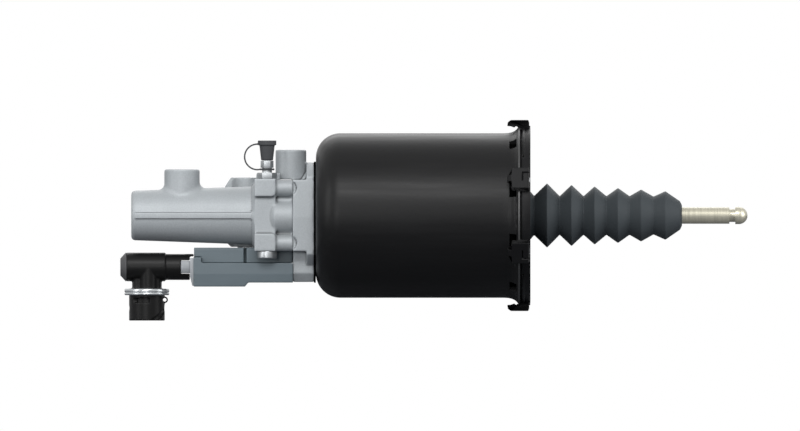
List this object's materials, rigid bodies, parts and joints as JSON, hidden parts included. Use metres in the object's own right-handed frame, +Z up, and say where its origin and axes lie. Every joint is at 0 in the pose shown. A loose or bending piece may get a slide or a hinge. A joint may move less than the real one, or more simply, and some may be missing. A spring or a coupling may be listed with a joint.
{
  "type": "clutch servo",
  "caption": "Air-over-hydraulic clutch servo with a black air cylinder, cast hydraulic cylinder, travel sensor with elbow connector, bellows and ball-ended pushrod.",
  "frame": {"origin": "centre of the mounting face, the outer face of the end cover, on the cylinder's axis", "axes": "+X along the axis towards the pushrod's ball end, +Z up with the ports on top, -Y towards the side with the bleed screw"},
  "size_m": [0.4077, 0.1196, 0.1303],
  "materials": {
    "black_can": "satin black",
    "black_cover": "satin black",
    "black_clip": "moulded black",
    "black_rubber": "matt",
    "slate_rubber": "moulded slate gray",
    "cap_rubber": "moulded dark gray",
    "zinc_steel": "zinc plated",
    "bright_steel": "bright plated",
    "spring_steel": "drawn wire",
    "ground_steel": "ground",
    "yellow_steel": "yellow passivated",
    "machined_aluminium": "turned",
    "cast_aluminium": "as cast and blasted",
    "bush_bronze": "sintered",
    "guide_plastic": "filled plastic",
    "sensor_plastic": "moulded blue gray",
    "plate_plastic": "moulded light gray",
    "black_plastic": "moulded black",
    "pin_brass": "plated"
  },
  "bodies": {
    "root": {"cylinder_can": "black_can", "can_gasket": "black_rubber", "can_clamp_ring": "zinc_steel", "can_screws": "zinc_steel", "end_cover": "black_cover", "cover_clips": "black_clip", "bellows": "slate_rubber", "preload_spring": "spring_steel", "hydraulic_housing": "cast_aluminium", "housing_screws": "zinc_steel", "flange_housing": "cast_aluminium", "ring_seal": "black_rubber", "guide_bush": "bush_bronze", "bush_circlip": "spring_steel", "rod_seal": "black_rubber", "relay_spring": "spring_steel", "relay_lower_plug": "zinc_steel", "relay_exhaust_cap": "machined_aluminium", "bleed_cap": "cap_rubber", "gallery_plug": "zinc_steel", "sensor_body": "sensor_plastic", "sensor_cover": "sensor_plastic", "sensor_screws": "zinc_steel", "sensor_coil": "guide_plastic", "sensor_end_plate": "plate_plastic", "sensor_fitting": "plate_plastic", "elbow_housing": "black_plastic", "elbow_end_cap": "black_plastic", "connector_ring": "bright_steel", "contact_carrier": "black_plastic", "contact_pins": "pin_brass"},
    "piston_group": {"air_piston": "machined_aluminium", "piston_seal": "black_rubber", "piston_guide_band": "guide_plastic", "piston_nut": "zinc_steel", "hydraulic_plunger": "ground_steel", "plunger_cup": "black_rubber", "pushrod_seat": "ground_steel", "seat_circlip": "spring_steel", "pushrod": "yellow_steel", "sensor_plunger": "ground_steel"},
    "relay_spool": {"relay_spool": "machined_aluminium"},
    "bleed_screw": {"bleed_screw": "zinc_steel"}
  },
  "joints": [
    {"name": "piston_stroke", "type": "slide", "parent": "root", "child": "piston_group", "axis": [1, 0, 0], "range_m": [-0.055, 0], "stiffness_N_per_m": 500, "springref_m": 0.04, "deforming": ["bellows", "preload_spring"]},
    {"name": "relay_stroke", "type": "slide", "parent": "root", "child": "relay_spool", "axis": [0, 0, 1], "range_m": [-0.003, 0], "stiffness_N_per_m": 800, "springref_m": 0.003, "deforming": ["relay_spring"]},
    {"name": "bleed_turn", "type": "hinge", "parent": "root", "child": "bleed_screw", "pos_m": [-0.1712, -0.017, 0.02], "axis": [0, 0, 1], "range_deg": [0, 360]}
  ]
}
